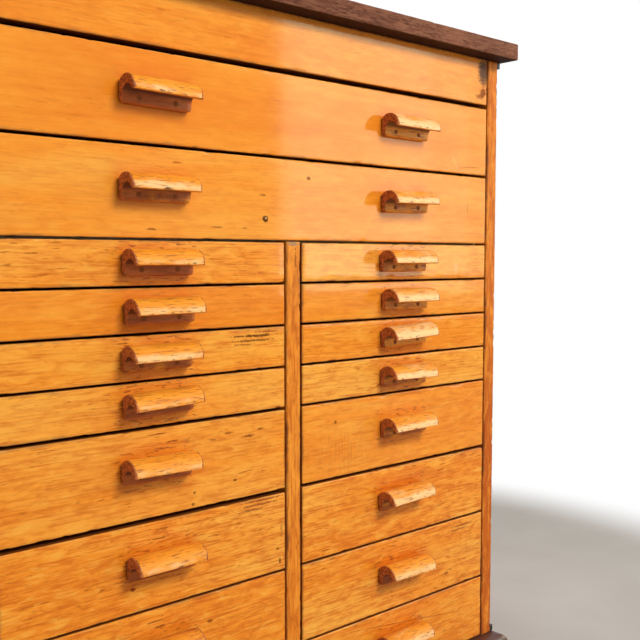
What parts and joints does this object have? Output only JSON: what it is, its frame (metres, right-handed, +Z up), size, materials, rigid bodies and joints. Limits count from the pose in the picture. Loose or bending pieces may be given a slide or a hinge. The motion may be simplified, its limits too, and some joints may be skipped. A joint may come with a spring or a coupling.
{
  "type": "chest of drawers",
  "caption": "Floor-standing wooden chest of drawers with wide drawers over two columns of shallow and deep drawers, coved wooden pulls, slab top and plinth.",
  "frame": {"origin": "on the floor, under the middle of the object's outer box; X = 0 is the middle of the centre divider", "axes": "+Z up, drawer fronts face -Y, +X to the right as seen from the front"},
  "size_m": [0.8166, 0.477, 0.9675],
  "materials": {
    "amber_wood": "worn amber varnish, satin",
    "pull_wood": "worn amber varnish, darker in the grain",
    "slab_wood": "red-brown, matt, worn",
    "base_wood": "dark red-brown, worn",
    "black_stained_wood": "black, matt",
    "raw_pine": "bare, aged",
    "raw_beech": "bare, polished by use",
    "steel": "dull, tarnished"
  },
  "bodies": {
    "carcass": {"back_boards": "raw_pine", "back_nails": "steel", "base_moulding_front": "base_wood", "base_moulding_left": "base_wood", "base_moulding_right": "base_wood", "bottom_board": "raw_pine", "centre_divider": "amber_wood", "corner_blocks": "raw_pine", "divider_runners": "raw_beech", "front_stretcher": "raw_pine", "mid_shelf": "raw_pine", "plinth_back": "base_wood", "plinth_front": "base_wood", "plinth_left": "base_wood", "plinth_right": "base_wood", "rear_stretcher": "raw_pine", "runner_screws": "steel", "side_cleats": "black_stained_wood", "side_panel_left": "amber_wood", "side_panel_right": "amber_wood", "side_runners": "raw_beech", "slab_screws": "steel", "top_rail": "amber_wood", "top_slab": "slab_wood"},
    "wide_upper": {"drawer_wide_upper": "amber_wood", "pulls_wide_upper": "pull_wood"},
    "wide_lower": {"drawer_wide_lower": "amber_wood", "pulls_wide_lower": "pull_wood"},
    "left_1": {"drawer_left_1": "amber_wood", "pull_left_1": "pull_wood"},
    "left_2": {"drawer_left_2": "amber_wood", "pull_left_2": "pull_wood"},
    "left_3": {"drawer_left_3": "amber_wood", "pull_left_3": "pull_wood"},
    "left_4": {"drawer_left_4": "amber_wood", "pull_left_4": "pull_wood"},
    "left_5": {"drawer_left_5": "amber_wood", "pull_left_5": "pull_wood"},
    "left_6": {"drawer_left_6": "amber_wood", "pull_left_6": "pull_wood"},
    "left_7": {"drawer_left_7": "amber_wood", "pull_left_7": "pull_wood"},
    "left_8": {"drawer_left_8": "amber_wood", "pull_left_8": "pull_wood"},
    "right_1": {"drawer_right_1": "amber_wood", "pull_right_1": "pull_wood"},
    "right_2": {"drawer_right_2": "amber_wood", "pull_right_2": "pull_wood"},
    "right_3": {"drawer_right_3": "amber_wood", "pull_right_3": "pull_wood"},
    "right_4": {"drawer_right_4": "amber_wood", "pull_right_4": "pull_wood"},
    "right_5": {"drawer_right_5": "amber_wood", "pull_right_5": "pull_wood"},
    "right_6": {"drawer_right_6": "amber_wood", "pull_right_6": "pull_wood"},
    "right_7": {"drawer_right_7": "amber_wood", "pull_right_7": "pull_wood"},
    "right_8": {"drawer_right_8": "amber_wood", "pull_right_8": "pull_wood"}
  },
  "joints": [
    {"name": "wide_upper_slide", "type": "slide", "parent": "carcass", "child": "wide_upper", "axis": [0, -1, 0], "range_m": [0, 0.3]},
    {"name": "wide_lower_slide", "type": "slide", "parent": "carcass", "child": "wide_lower", "axis": [0, -1, 0], "range_m": [0, 0.3]},
    {"name": "left_1_slide", "type": "slide", "parent": "carcass", "child": "left_1", "axis": [0, -1, 0], "range_m": [0, 0.3]},
    {"name": "left_2_slide", "type": "slide", "parent": "carcass", "child": "left_2", "axis": [0, -1, 0], "range_m": [0, 0.3]},
    {"name": "left_3_slide", "type": "slide", "parent": "carcass", "child": "left_3", "axis": [0, -1, 0], "range_m": [0, 0.3]},
    {"name": "left_4_slide", "type": "slide", "parent": "carcass", "child": "left_4", "axis": [0, -1, 0], "range_m": [0, 0.3]},
    {"name": "left_5_slide", "type": "slide", "parent": "carcass", "child": "left_5", "axis": [0, -1, 0], "range_m": [0, 0.3]},
    {"name": "left_6_slide", "type": "slide", "parent": "carcass", "child": "left_6", "axis": [0, -1, 0], "range_m": [0, 0.3]},
    {"name": "left_7_slide", "type": "slide", "parent": "carcass", "child": "left_7", "axis": [0, -1, 0], "range_m": [0, 0.3]},
    {"name": "left_8_slide", "type": "slide", "parent": "carcass", "child": "left_8", "axis": [0, -1, 0], "range_m": [0, 0.3]},
    {"name": "right_1_slide", "type": "slide", "parent": "carcass", "child": "right_1", "axis": [0, -1, 0], "range_m": [0, 0.3]},
    {"name": "right_2_slide", "type": "slide", "parent": "carcass", "child": "right_2", "axis": [0, -1, 0], "range_m": [0, 0.3]},
    {"name": "right_3_slide", "type": "slide", "parent": "carcass", "child": "right_3", "axis": [0, -1, 0], "range_m": [0, 0.3]},
    {"name": "right_4_slide", "type": "slide", "parent": "carcass", "child": "right_4", "axis": [0, -1, 0], "range_m": [0, 0.3]},
    {"name": "right_5_slide", "type": "slide", "parent": "carcass", "child": "right_5", "axis": [0, -1, 0], "range_m": [0, 0.3]},
    {"name": "right_6_slide", "type": "slide", "parent": "carcass", "child": "right_6", "axis": [0, -1, 0], "range_m": [0, 0.3]},
    {"name": "right_7_slide", "type": "slide", "parent": "carcass", "child": "right_7", "axis": [0, -1, 0], "range_m": [0, 0.3]},
    {"name": "right_8_slide", "type": "slide", "parent": "carcass", "child": "right_8", "axis": [0, -1, 0], "range_m": [0, 0.3]}
  ]
}
